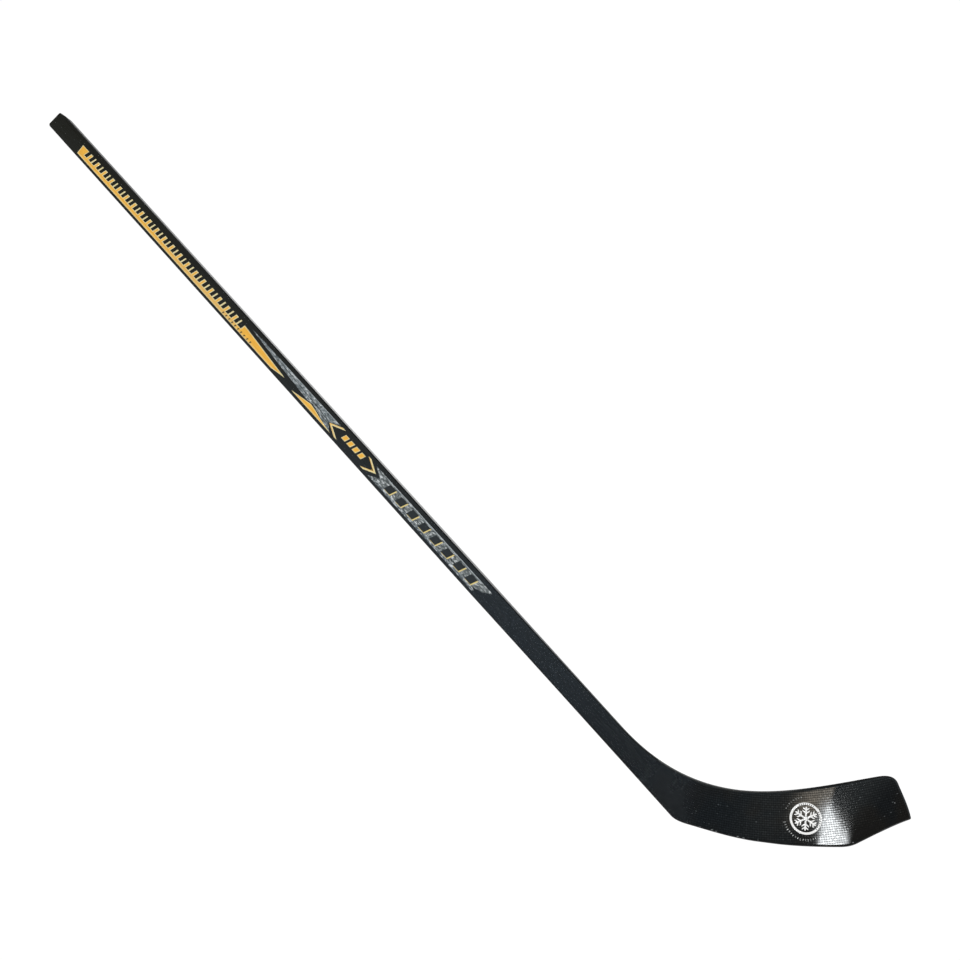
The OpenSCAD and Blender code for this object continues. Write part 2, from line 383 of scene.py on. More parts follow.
def plate_mesh(poly, cuts, low, high):
    """Flat polygon cut along lines (point, normal), then laid between two surfaces."""
    bm = bmesh.new()
    bm.faces.new([bm.verts.new((float(x), float(y), 0)) for x, y in poly])
    bm.normal_update()
    for point, normal in cuts:
        bmesh.ops.bisect_plane(bm, geom=bm.verts[:] + bm.edges[:] + bm.faces[:], dist=1e-5,
                               plane_co=(*point, 0), plane_no=(*normal, 0))
    bm.normal_update()
    bmesh.ops.triangulate(bm, faces=bm.faces[:])
    bm.verts.index_update()
    flat = np.array([v.co[:2] for v in bm.verts])
    tris = [tuple(v.index for v in face.verts) for face in bm.faces]
    border = []  # outer edges, in the direction their face walks them
    for e in bm.edges:
        if len(e.link_faces) == 1:
            ids = [v.index for v in e.link_faces[0].verts]
            a, b = e.verts[0].index, e.verts[1].index
            if ids[(ids.index(a) + 1) % len(ids)] != b:
                a, b = b, a
            border.append((a, b))
    bm.free()
    n = len(flat)
    faces = [tuple(i + n for i in t) for t in tris] + [t[::-1] for t in tris]
    faces += [(a, b, b + n, a + n) for a, b in border]
    return np.vstack([low(flat), high(flat)]), faces


# ------------------------------------------------------------------ node graphs
class Value:
    """An output socket that can be added, subtracted, multiplied and shaped."""

    def __init__(self, net, socket):
        self.net = net
        self.socket = socket

    def math(self, operation, other=0.0):
        return self.net.math(operation, self, other)

    def __add__(self, other):
        return self.math("ADD", other)

    def __radd__(self, other):
        return self.net.math("ADD", other, self)

    def __sub__(self, other):
        return self.math("SUBTRACT", other)

    def __rsub__(self, other):
        return self.net.math("SUBTRACT", other, self)

    def __mul__(self, other):
        return self.math("MULTIPLY", other)

    def dot(self, direction):
        return self.net.value("ShaderNodeVectorMath", {0: self, 1: direction}, "Value",
                              operation="DOT_PRODUCT")

    def step(self, start, end):
        """Smoothly from 0 at start to 1 at end; start may be the larger."""
        rise = self.net.value(
            "ShaderNodeMapRange",
            {"Value": self, "From Min": min(start, end), "From Max": max(start, end)},
            interpolation_type="SMOOTHSTEP")
        return 1.0 - rise if start > end else rise

    def remap(self, start, end, low=0.0, high=1.0):
        return self.net.value("ShaderNodeMapRange", {
            "Value": self, "From Min": start, "From Max": end, "To Min": low, "To Max": high})

    def noise(self, scale, detail=2.0, rough=0.5, warp=0.0):
        return self.net.value("ShaderNodeTexNoise", {
            "Vector": self, "Scale": scale, "Detail": detail, "Roughness": rough,
            "Distortion": warp})

    def white(self):
        return self.net.value("ShaderNodeTexWhiteNoise", {"Vector": self}, "Value")

    def mix(self, color_0, color_1):
        """color_0 where this is 0, color_1 where it is 1."""
        return self.net.value("ShaderNodeMix", {0: self, 6: color_0, 7: color_1}, 2,
                              data_type="RGBA")

    def lerp(self, value_0, value_1):
        return self.net.value("ShaderNodeMix", {0: self, 2: value_0, 3: value_1},
                              data_type="FLOAT")

    def toward(self, color, amount):
        """This colour taken some way to another."""
        return amount.mix(self, color)

    def ramp(self, stops):
        node = self.net.add("ShaderNodeValToRGB", {0: self})
        elements = node.color_ramp.elements
        while len(elements) > 1:
            elements.remove(elements[-1])
        elements[0].position = stops[0][0]
        elements[0].color = (*stops[0][1], 1)
        for position, color in stops[1:]:
            elements.new(position).color = (*color, 1)
        return Value(self.net, node.outputs["Color"])

    def bump(self, distance, strength, under=None):
        """Normal from this as a height of up to distance mm."""
        inputs = {"Height": self, "Distance": distance * 0.001, "Strength": strength}
        if under is not None:
            inputs["Normal"] = under
        return self.net.value("ShaderNodeBump", inputs)


class Net:
    """Node graph of a material or world, with the row frame's coordinates in mm."""

    def __init__(self, owner):
        self.owner = owner
        owner.use_nodes = True
        self.tree = owner.node_tree
        self.tree.nodes.clear()

    def put(self, socket, value):
        if isinstance(value, Value):
            self.tree.links.new(value.socket, socket)
        elif socket.type == "RGBA" and len(value) == 3:
            socket.default_value = (*value, 1.0)
        else:
            socket.default_value = value

    def add(self, kind, inputs=None, **props):
        node = self.tree.nodes.new(kind)
        for key, value in props.items():
            setattr(node, key, value)
        for key, value in (inputs or {}).items():
            self.put(node.inputs[key], value)
        return node

    def value(self, kind, inputs=None, output=0, **props):
        return Value(self, self.add(kind, inputs, **props).outputs[output])

    def math(self, operation, a, b):
        return self.value("ShaderNodeMath", {0: a, 1: b}, operation=operation)

    def vec(self, x, y, z=0.0):
        return self.value("ShaderNodeCombineXYZ", {0: x, 1: y, 2: z})

    def split(self, vector):
        node = self.add("ShaderNodeSeparateXYZ", {0: vector})
        return [Value(self, output) for output in node.outputs]

    @cached_property
    def object_pos(self):
        return self.value("ShaderNodeTexCoord", output="Object")

    @cached_property
    def from_butt(self):
        return self.value("ShaderNodeVectorMath",
                          {0: self.object_pos, 1: tuple(BUTT * 0.001)}, operation="SUBTRACT")

    @cached_property
    def along(self):
        return self.from_butt.dot(tuple(DOWN * 1000))

    @cached_property
    def across(self):
        return self.from_butt.dot(tuple(ACROSS * 1000))

    @cached_property
    def x(self):
        return self.object_pos.dot((1000, 0, 0))

    @cached_property
    def y(self):
        return self.object_pos.dot((0, 1000, 0))

    @cached_property
    def z(self):
        return self.object_pos.dot((0, 0, 1000))

    @cached_property
    def pos(self):
        return self.vec(self.x, self.y, self.z)

    @cached_property
    def grain(self):
        """Position drawn out along the shaft."""
        return self.vec(self.along * 0.02, self.across, self.y)

    def surface(self, color, rough, normal, specular=0.5, metallic=0.0):
        shader = self.value("ShaderNodeBsdfPrincipled", {
            "Base Color": color, "Roughness": rough, "Normal": normal,
            "Specular IOR Level": specular, "Metallic": metallic, "Coat Roughness": 0.1})
        self.add("ShaderNodeOutputMaterial", {0: shader})
        return self.owner


def material_net(name):
    return Net(bpy.data.materials.new(name))


def rgb(*channels):
    """Linear colour from 0..255 display values."""
    return tuple(c / 255 / 12.92 if c / 255 <= 0.04045 else ((c / 255 + 0.055) / 1.055) ** 2.4
                 for c in channels)


# ------------------------------------------------------------------ lacquer, glass, wood
def lacquer_color(net):
    """Black that turns bluer down the shaft, streaked lengthwise and mottled on the neck."""
    color = net.along.step(150, 1250).mix(rgb(22, 22, 21), rgb(17, 20, 23))
    streaks = net.grain.noise(scale=0.9, detail=3.0, rough=0.55)
    color = color.toward(rgb(34, 36, 38),
                         streaks.remap(0.35, 0.75, high=0.30) * net.along.step(1150, 950))
    mottle = net.pos.noise(scale=0.55, detail=3.0, rough=0.75).step(0.48, 0.68)
    mottle = mottle * (net.along.step(980, 1090) * net.along.step(1330, 1230))
    return color.toward(rgb(50, 57, 64), mottle * 0.55)


def dust(net, amount=0.012):
    """Small pale specks, in about this share of the cells."""
    cells_per_mm = 0.16
    spot = net.value("ShaderNodeTexVoronoi", {"Vector": net.pos, "Scale": cells_per_mm})
    scaled = net.value("ShaderNodeVectorMath", {0: net.pos, "Scale": cells_per_mm},
                       operation="SCALE")
    pick = net.value("ShaderNodeVectorMath", {0: scaled}, operation="FLOOR").white()
    return spot.step(0.06, 0.025) * pick.step(1 - amount, 1 - amount * 0.5)


def lacquer(name):
    net = material_net(name)
    color = lacquer_color(net).toward(rgb(130, 134, 136), dust(net) * 0.7)
    rough = net.grain.noise(scale=0.5, detail=3.0) * 0.10 + 0.19
    peel = net.pos.noise(scale=0.35).bump(distance=0.05, strength=0.35)
    brush = net.grain.noise(scale=1.6, rough=0.6).bump(distance=0.03, strength=0.4, under=peel)
    return net.surface(color, rough, brush)


def glass_face(name, rough):
    """Lacquer over a fine glass facing: very faint rows under the gloss."""
    net = material_net(name)
    along, across = net.along, net.across
    color = lacquer_color(net)
    row_pitch, tick_pitch = 1.9, 3.1
    rows = (across * (2 * math.pi / row_pitch)).math("SINE")
    ticks = (along * (2 * math.pi / tick_pitch)).math("SINE")
    fine = (rows + ticks * 0.6) * 0.5
    cloudy = net.vec(along * 0.05, across * 0.35, net.y).noise(scale=0.6, detail=3.0, rough=0.6)
    haze = along.step(200, 1200).mix(rgb(33, 34, 33), rgb(36, 41, 46))
    color = color.toward(haze, cloudy.remap(0.4, 0.8, high=0.35) * along.step(1230, 1080))
    # the neck darkens towards the blade
    color = color.toward(rgb(16, 18, 20), along.step(1230, 1385) * 0.9)
    color = color.toward(rgb(128, 132, 134), dust(net, amount=0.009) * 0.6)
    # rubbed strip along the upper edge, nearer the butt
    rub = across.step(12.8, 13.8) * net.grain.noise(scale=0.8, detail=4.0, rough=0.65)
    rub = rub * along.step(520, 380)
    color = color.toward(rgb(62, 66, 68), rub * 0.3)
    # dark glue line where the facing ends along the upper edge
    glue = across.step(13.0, 13.6) * (along.step(380, 560) * along.step(1332, 1290))
    color = color.toward(rgb(12, 13, 14), glue * 0.6)
    weave_bump = fine.bump(distance=0.02, strength=0.35)
    normal = net.pos.noise(scale=0.5, detail=3.0).bump(
        distance=0.02, strength=0.4, under=weave_bump)
    return net.surface(color, cloudy * 0.16 + (rough - 0.06), normal,
                       specular=glue.lerp(0.5, 0.2))


def wood(name, pale, dark, ring_scale):
    """Sawn wood inside, black lacquer where the ply comes to the outside."""
    net = material_net(name)
    along, across, y = net.along, net.across, net.y
    rings = net.vec(along * 0.012, across * 0.55, y * 0.9).noise(
        scale=ring_scale, detail=5.0, rough=0.6, warp=0.6)
    fibres = net.vec(along * 0.05, across * 6.0, y * 6.0).noise(
        scale=1.0, detail=3.0, rough=0.6)
    color = rings.ramp([(0.3, dark), (0.48, pale), (0.62, dark), (0.75, pale)])
    color = color.toward(dark, fibres.remap(0.4, 0.7, high=0.35))
    outside = across.math("ABSOLUTE").step(HALF_W - 1.7, HALF_W - 1.2)
    butt_end = along.step(14.6, 13.4)  # covers the butt and its slanted corner
    face = outside.math("MAXIMUM", butt_end)
    color = color.toward(lacquer_color(net), face)
    # on the upper edge, by the front face: a dull glue line; behind it on the neck, a lighter
    # grey that is partly wear and partly painted sheen of the narrow face
    glue = face * across.step(10.0, 12.0) * (
        y.step(2.4 - HALF_T, 1.4 - HALF_T) * along.step(380, 560))
    worn = face * across.step(10.0, 12.0) * (
        along.step(1120, 1180) * y.step(2.0 - HALF_T, 3.0 - HALF_T))
    # lighter grey on the neck's upper narrow face: partly wear, partly painted sheen
    color = color.toward(rgb(66, 70, 72), worn * 0.6)
    return net.surface(color, face.lerp(0.55, 0.2),
                       net.grain.noise(scale=1.2).bump(distance=0.012, strength=0.4),
                       specular=glue.lerp(0.5, 0.15))


# ------------------------------------------------------------------ blade materials
# light nicks in the blade's edge: x, z, half length, half height
NICKS = [
    (-68.5, 7.3, 1.9, 0.6), (-63.5, 5.8, 0.9, 1.0), (-36.5, 3.2, 1.6, 0.6),
    (-29.5, 2.4, 1.4, 0.6), (-83.5, 9.2, 0.9, 0.5), (-12.0, 2.0, 0.8, 0.5),
    (100.7, 13.0, 1.0, 0.7), (147.5, 65.3, 0.7, 0.9)]


def nicked(net, color):
    """The colour with ragged light spots at the nicks."""
    ragged = net.pos.noise(scale=0.9, detail=3.0, rough=0.7)
    nicks = None
    for x, z, half_long, half_high in NICKS:
        a = (net.x - x) * (1.0 / half_long)
        b = (net.z - z) * (1.0 / half_high)
        distance = (a * a + b * b).math("SQRT") + (ragged - 0.5) * 1.6
        nick = distance.step(1.0, 0.7)
        nicks = nick if nicks is None else nicks.math("MAXIMUM", nick)
    return color.toward(rgb(150, 153, 154), nicks * 0.6)


def cloth(name, with_nicks):
    """Black woven roving under resin, with painted highlight on the yarn crowns and painted
    glints.
    """
    net = material_net(name)
    u, v, fade = net.split(net.value("ShaderNodeAttribute", output="Vector",
                                     attribute_name="wv"))
    # the same weave as in the mesh
    a, b = u * (1 / PITCH), v * (1 / PITCH)
    i, j = a.math("FLOOR"), b.math("FLOOR")
    cell_u, cell_v = a - i - 0.5, b - j - 0.5
    sign = 1.0 - (i + j).math("MODULO", 2.0).math("ABSOLUTE") * 2.0
    cos_u = (cell_u * math.pi).math("COSINE")
    cos_v = (cell_v * math.pi).math("COSINE")
    along = cos_v * (ALONG_LEVEL + sign * cos_u * WAVE)
    cross = cos_u * (CROSS_LEVEL - sign * cos_v * WAVE)
    height = along.math("MAXIMUM", cross)
    pick = net.vec(i, j, 3.0).white()
    pick_2 = net.vec(j, i, 9.0).white()
    strands = net.vec(u * 0.25, v * 5.0).noise(scale=1.0, detail=3.0, rough=0.6)
    cloud = net.pos.noise(scale=0.035, detail=3.0, rough=0.6)
    warm = net.pos.noise(scale=0.02).step(0.42, 0.62)
    base = warm.mix(rgb(15, 17, 19), rgb(20, 19, 18))
    # painted highlight: the yarn crowns get a lighter colour and the gaps stay darker, as
    # shading of the weave
    crown_highlight_color = warm.mix(rgb(27, 30, 32), rgb(34, 32, 29))
    crown_highlight = height.step(0.55, 1.0) * (fade * (0.35 + pick_2 * 0.65))
    color = crown_highlight.mix(base, crown_highlight_color)
    color = color.toward(rgb(40, 41, 40), strands.remap(0.45, 0.8, high=0.3) * fade)
    # painted glints: pale specks on the crowns of scattered cells, in patches, standing in for
    # the light's sparkle
    patches = net.pos.noise(scale=0.03, detail=3.0, rough=0.7).step(0.44, 0.6)
    painted_glint = pick.step(0.955, 0.985) * height.step(0.6, 0.95) * (fade * patches)
    color = color.toward(rgb(110, 116, 118), painted_glint * 0.4)
    color = color.toward(rgb(140, 144, 146), dust(net) * (fade * 0.45))
    if with_nicks:
        color = nicked(net, color)
    # the heel is duller and bluer
    heel = net.x.step(-70.0, -118.0)
    rough = heel.lerp(0.040 + cloud * 0.012, 0.19 + cloud * 0.16)
    color = color.toward(rgb(19, 22, 25), heel * 0.5)
    normal = (height * fade).bump(distance=0.002, strength=0.5)
    normal = net.pos.noise(scale=0.3).bump(distance=0.003, strength=0.4, under=normal)
    normal = (pick_2 * (fade * height.step(0.3, 0.8))).bump(
        distance=0.001, strength=0.5, under=normal)
    # the resin lies thin in the gaps between the yarns and hardly shines there
    gap = height.step(0.62, 0.30) * (fade * 1.6).math("MINIMUM", 1.0)
    uneven = pick.remap(0.0, 1.0, low=0.36, high=0.64)
    return net.surface(color, rough, normal, specular=gap.lerp(uneven, 0.16))


def resin(name):
    """Resin-filled fold round the edge, with nicks from use and a painted highlight along its
    top.
    """
    net = material_net(name)
    cloud = net.pos.noise(scale=0.08, detail=3.0, rough=0.6)
    color = cloud.remap(0.4, 0.75, high=0.6).mix(rgb(17, 18, 20), rgb(31, 33, 34))
    scuff = net.pos.noise(scale=0.6, detail=4.0, rough=0.7).step(0.66, 0.72)
    color = color.toward(rgb(110, 113, 114), scuff * net.z.step(9.0, 3.0) * 0.5)
    # painted highlight: the top of the edge is made paler towards the heel, where it catches the
    # light
    color = color.toward(rgb(66, 68, 68), net.z.step(48.0, 60.0) * net.x.step(60.0, 10.0))
    return net.surface(nicked(net, color), 0.2 + cloud * 0.12,
                       net.pos.noise(scale=0.4, detail=3.0).bump(distance=0.03, strength=0.5))


# ------------------------------------------------------------------ inks
def yellow_lines(net, color):
    """A deeper and a paler line low on the band, and a pale stretch of it."""
    deep = (net.across + 7.4).math("ABSOLUTE")
    color = color.toward(rgb(196, 140, 42), deep.step(0.9, 0.2) * 0.35)
    pale = (net.across + 8.6).math("ABSOLUTE")
    color = color.toward(rgb(240, 208, 130), pale.step(0.8, 0.1) * 0.45)
    stretch = net.along.step(280, 400) * net.along.step(517, 500) * net.across.step(-4.0, -5.2)
    return color.toward(rgb(212, 178, 112), stretch * 0.5)


def ink(name, main, second, scale=0.8, speck=None, speck_amount=0.0, lines=False):
    """Printed ink under the lacquer, with uneven cover."""
    net = material_net(name)
    cover = net.vec(net.along * 0.35, net.across, net.y).noise(scale, detail=4.0, rough=0.6)
    color = cover.remap(0.35, 0.7).mix(main, second)
    if lines:
        color = yellow_lines(net, color)
    if speck:
        specks = net.pos.noise(scale=1.1, detail=3.0, rough=0.7).step(0.62, 0.68)
        color = color.toward(speck, specks * speck_amount)
    return net.surface(color, 0.26 + cover * 0.08, cover.bump(distance=0.02, strength=0.3))


def foil(name, mid, light, dark):
    """Silver print with long brushed streaks, broken into flecks."""
    net = material_net(name)
    along, across = net.along, net.across
    flake = net.vec(along * 0.16 + across * 0.10, across * 0.42 - along * 0.05).noise(
        scale=1.0, detail=4.0, rough=0.62, warp=0.8)
    small = net.vec(along * 0.5, across).noise(scale=0.9, detail=4.0, rough=0.7, warp=0.6)
    brush = net.vec(along * 0.045, across * 1.1).noise(
        scale=1.0, detail=4.0, rough=0.6, warp=0.3)
    tone = flake * 0.50 + small * 0.17 + brush * 0.33
    tone = (tone - 0.49) * 1.3 + 0.478  # more contrast
    color = tone.ramp([(0.40, dark), (0.46, mid), (0.505, mid), (0.54, light),
                       (0.59, rgb(220, 224, 226))])
    scratch = net.vec((along + across) * 0.12, (across - along * 0.2) * 1.3).noise(
        scale=1.0, detail=3.0, rough=0.6).step(0.60, 0.66)
    return net.surface(color.toward(dark, scratch * 0.6), 0.3 + small * 0.15,
                       tone.bump(distance=0.03, strength=0.4), metallic=0.1)


def white_ink(name):
    """White ink worn in patches that follow the weave."""
    net = material_net(name)
    worn = net.pos.noise(scale=0.55, detail=4.0, rough=0.7)
    weave_show = (net.z * (2 * math.pi / PITCH)).math("SINE") * 0.5
    keep = (worn + weave_show * 0.06).step(0.30, 0.36)
    white = worn.mix(rgb(246, 246, 244), rgb(232, 233, 232))
    return net.surface(keep.mix(rgb(120, 122, 122), white), 0.35,
                       worn.bump(distance=0.04, strength=0.5))


def grey_ink(name):
    net = material_net(name)
    worn = net.pos.noise(scale=0.8, detail=4.0, rough=0.7)
    return net.surface(worn.step(0.42, 0.58).mix(rgb(60, 62, 62), rgb(186, 188, 186)), 0.4,
                       worn.bump(distance=0.03, strength=0.4))


# ------------------------------------------------------------------ shaft plies
BUTT_SLANT, SLANT_LEN = 4.0, 13.0  # slanted upper corner of the butt: drop and length


def butt_trim(along):
    """What the butt's shape takes off: low side, high side, slant, thickness."""
    along = np.asarray(along, float)

    def quarter(radius):
        d = np.clip(radius - along, 0, radius)
        return radius - np.sqrt(np.maximum(radius * radius - d * d, 0))

    slant = BUTT_SLANT * np.clip(1 - along / SLANT_LEN, 0, 1)
    return quarter(4.4), quarter(2.2), slant, quarter(1.6)


def ply_loops(y0, y1, stops, cover=0.0, count=9):
    """Closed sections of the layer between depths y0 and y1, under a cover on the neck."""
    loops = []
    for along in stops:
        back = LENGTH - along
        low, high, slant, thin = butt_trim(along)
        half = float(neck_half(back)) if back < TAPER else HALF_T - float(thin)
        radius = corner_at(back)
        room = half - (cover if back < TAPER else 0.0)
        a = min(max(y0, -room), room - 0.02)
        b = max(min(y1, room), a + 0.02)
        ys = a + (b - a) * (0.5 - 0.5 * np.cos(np.linspace(0, np.pi, count)))
        edge_half = rounded(HALF_W, half - np.abs(ys), radius)
        # the slant cuts deeper towards the back
        upper_side = (edge_half - high
                      - slant * (0.62 + 0.38 * np.clip((ys + HALF_T) / (2 * HALF_T), 0, 1)))
        lower_side = -edge_half + low
        loops.append(np.vstack([shaft_point(along, upper_side, ys),
                                shaft_point(along, lower_side[::-1], ys[::-1])]))
    return loops


butt_stops = [0.0, 0.15, 0.4, 0.8, 1.3, 1.9, 2.6, 3.4, 4.3, 5.2, 7.0, 9.0, 11.0, 13.0, 15.5]


def stops_for(inner_y, end_back):
    """Stations from where the butt's rounding reaches the layer to its lower end."""
    first = next((s for s in np.linspace(0, 1.6, 97)
                  if HALF_T - butt_trim(s)[3] >= inner_y + 0.03), 0.0)
    taper_count = max(int((TAPER - end_back) / 9), 2)
    return np.array([first] + [s for s in butt_stops if s > first + 0.02]
                    + list(np.arange(40.0, LENGTH - TAPER - 5, 60.0))
                    + list(np.linspace(LENGTH - TAPER, LENGTH - end_back, taper_count)))


# distance back at which the taper, less its wrap, reaches the veneer's inner side
taper_backs = np.linspace(TAPER, SHOULDER, 400)
veneer_end = float(taper_backs[np.argmax(neck_half(taper_backs) - GLASS <= VENEER_Y)])

birch = wood("birch_ply", rgb(214, 186, 138), rgb(176, 140, 92), ring_scale=0.8)
birch_middle = wood("birch_middle", rgb(206, 178, 130), rgb(168, 132, 86), ring_scale=0.6)
aspen = wood("aspen_board", rgb(228, 210, 172), rgb(204, 178, 132), ring_scale=0.5)
facing = glass_face("shaft_facing", rough=0.26)
facing_back = glass_face("shaft_facing_back", rough=0.28)

make("shaft_middle_ply_wood",
     loft(ply_loops(-TONGUE, TONGUE, stops_for(0, SHOULDER + TONGUE_LEN), GLASS)),
     birch_middle, "birch", "shaft_middle_ply")
# layers from the middle out: object and piece names, depths, end, cover, materials, slot
for object_name, piece, inner_y, outer_y, end_back, cover, materials, slot in (
        ("board_wood", "board", TONGUE, VENEER_Y, SHOULDER, GLASS, (aspen, aspen), "aspen"),
        ("veneer_wood", "veneer", VENEER_Y, GLASS_Y, veneer_end, GLASS, (birch, birch), "birch"),
        ("facing", "glass", GLASS_Y, HALF_T, TAPER, 0.0, (facing, facing_back),
         "black_lacquer")):
    for face, y0, y1, material in (("front", -outer_y, -inner_y, materials[0]),
                                   ("back", inner_y, outer_y, materials[1])):
        make(f"shaft_{face}_{object_name}",
             loft(ply_loops(y0, y1, stops_for(inner_y, end_back), cover)),
             material, slot, f"shaft_{face}_{piece}")

# ------------------------------------------------------------------ neck wraps
wrap_backs = np.unique(np.r_[np.linspace(TAPER, 130, 30), np.linspace(130, SHOULDER, 36)])[::-1]


def top_stretch(back):
    """Length across the neck per length square to its upper edge."""
    slope = float(neck_top(back + 0.5) - neck_top(back - 0.5))
    return math.sqrt(1 + slope ** 2)


def neck_stations(back):
    """Places across the neck, dense at its two edges, with their distance from the edge."""
    top = float(neck_top(back))
    stretch = top_stretch(back)
    inside = np.array([0, 0.06, 0.16, 0.3, 0.5, 0.75, 1.05, 1.4, 1.9, 2.5])
    low = -HALF_W + inside
    high = top - inside * stretch
    middle = low[-1] + (high[-1] - low[-1]) * np.linspace(0, 1, 9)[1:-1]
    places = np.r_[low, middle, high[::-1]]
    return places, np.minimum(places + HALF_W, (top - places) / stretch)


def wrap_mesh(side):
    loops = []
    for back in wrap_backs:
        half, radius = float(neck_half(back)), corner_at(back)
        places, inside = neck_stations(back)
        outer = np.maximum(rounded(half, inside, radius), half - GLASS)
        # the two ends meet the inner plane where the rounding passes it
        start = radius - math.sqrt(radius * radius - (radius - GLASS) ** 2)
        places = np.clip(places, -HALF_W + start,
                         float(neck_top(back)) - start * top_stretch(back))
        along = LENGTH - back
        loops.append(np.vstack([shaft_point(along, places, side * outer),
                                shaft_point(along, places[[-1, 0]], side * (half - GLASS))]))
    return loft(loops)


for face, side, material in (("front", -1, glass_face("neck_wrap_cloth", rough=0.25)),
                             ("back", 1, glass_face("neck_wrap_cloth_back", rough=0.28))):
    make(f"neck_{face}_cloth", wrap_mesh(side), material, "woven_glass", f"neck_{face}_wrap",
         sharp=50)


# ------------------------------------------------------------------ throat, core, top strip
def throat_loops():
    """Sections of the block that fills the crook above the neck."""
    loops = []
    for back in np.linspace(126.5, SHOULDER, 34):
        half = float(neck_half(back))
        inside = np.array([0, 0.06, 0.16, 0.3, 0.5, 0.75, 0.94])
        y = np.minimum(rounded(half, inside, corner_at(back)), half - GLASS)
        places = float(neck_top(back)) - inside * top_stretch(back)
        foot = min(HALF_W - 2.2, places[-1] - 0.2)
        along = LENGTH - back
        loops.append(np.vstack([
            shaft_point(along, places[::-1], y[::-1]), shaft_point(along, places, -y),
            shaft_point(along, [foot, foot], [-(half - GLASS), half - GLASS])]))
    return loops


def core_face(side):
    """Surface just under the cloth, front (-1) or back (1)."""
    def at(flat):
        y = middle_at(flat) + side * (half_at(flat) - GLASS)
        return np.stack([flat[:, 0], y, flat[:, 1]], -1)
    return at


def core_plate(poly, cuts):
    return plate_mesh(poly, cuts, core_face(1), core_face(-1))


def first_inner(start, test):
    """First point of the inner edge line, from start on, that passes the test."""
    return next(k for k in range(start, len(inner)) if test(inner[k]))


STRIP_Z = 57.0  # lower side of the top strip
STRIP_X = -26.0  # its heel end
THROAT_X, THROAT_Z = -44.0, 53.4  # the throat's corner against the core
# cuts across the blade, square to its bend
bend_dir = (math.cos(BEND_TILT), -math.sin(BEND_TILT))
bend_cuts = [((BEND_X + w * bend_dir[0], BEND_Z + w * bend_dir[1]), bend_dir)
             for w in np.arange(0, 215, 9.0)]
strip_toe = first_inner(tip_top_k - 20, lambda p: p[1] >= STRIP_Z and p[0] > -20)
strip_heel = first_inner(strip_toe, lambda p: p[0] <= STRIP_X)
throat_toe = first_inner(strip_toe, lambda p: p[0] <= THROAT_X)
strip_low_toe = (inner[strip_toe][0], STRIP_Z)
strip_low_heel = (STRIP_X, STRIP_Z)
strip_top_heel = (STRIP_X, inner[strip_heel][1])
throat_top = (THROAT_X, inner[throat_toe][1])
throat_low = (THROAT_X, THROAT_Z)
wedge_low = on_line(14, HALF_W)

core_poly = np.vstack([
    inner[:strip_toe:3],
    [strip_low_toe, strip_low_heel, strip_top_heel, throat_top, throat_low, wedge_low,
     on_line(SHOULDER - 0.02, HALF_W - 0.1)]])
strip_poly = np.vstack([[strip_low_heel, strip_low_toe], inner[strip_toe + 1:strip_heel:3],
                        [strip_top_heel]])
throat_poly = np.vstack([[wedge_low, throat_low, throat_top], inner[throat_toe + 1:-1:3],
                         [inner[-1], on_line(SHOULDER, HALF_W - 0.1)]])

ash = wood("ash_core", rgb(202, 170, 122), rgb(164, 128, 84), ring_scale=0.9)
make("throat_block_wood", join(loft(throat_loops()), core_plate(throat_poly, [])),
     lacquer("throat_lacquer"), "ash", "throat_block")
tongue_stops = np.linspace(LENGTH - SHOULDER - TONGUE_LEN, LENGTH - SHOULDER, 30)
make("blade_core_wood",
     join(loft(ply_loops(-TONGUE, TONGUE, tongue_stops, GLASS)),
          core_plate(core_poly, bend_cuts)),
     ash, "ash", "blade_core")
make("blade_top_strip_wood", core_plate(strip_poly, bend_cuts),
     wood("top_strip_birch", rgb(210, 180, 132), rgb(170, 134, 88), ring_scale=1.0),
     "birch", "blade_top_strip")

# ------------------------------------------------------------------ blade cloths and rim
COLS, ROWS = 430, 108  # outer grid of a cloth, heel to toe and lower to upper edge
IN_ROWS = 5  # rows of its inner side
# lower and upper points of the inner edge line that share a column
COLUMN_PAIRS = [((-109, 13), (-96, 65)), ((-60, 5), (-58, 58)), ((48, 3), (38, 70)),
                ((104, 12), (101, 87))]


def columns():
    """Matching points of the inner edge line, lower and upper, for each column."""
    lines = inner_low, inner_up
    arcs = [arc_lengths(line) for line in lines]
    keys = [np.array([0.0] + [arc[nearest(line, pair[i])] for pair in COLUMN_PAIRS] + [arc[-1]])
            for i, (line, arc) in enumerate(zip(lines, arcs))]
    mean = (keys[0] + keys[1]) / 2
    t = np.linspace(0, mean[-1], COLS)
    reach = 20  # columns each side that soften the corners of the mapping
    window = np.ones(2 * reach + 1) / (2 * reach + 1)
    ends = []
    for line, arc, key in zip(lines, arcs, keys):
        at = np.interp(t, mean, key)
        mirrored = np.r_[2 * at[0] - at[reach:0:-1], at, 2 * at[-1] - at[-2:-reach - 2:-1]]
        soft = np.convolve(mirrored, window, "valid")
        soft[0], soft[-1] = at[0], at[-1]
        at = np.maximum.accumulate(soft)
        ends.append(np.stack([np.interp(at, arc, line[:, 0]),
                              np.interp(at, arc, line[:, 1])], -1))
    return ends


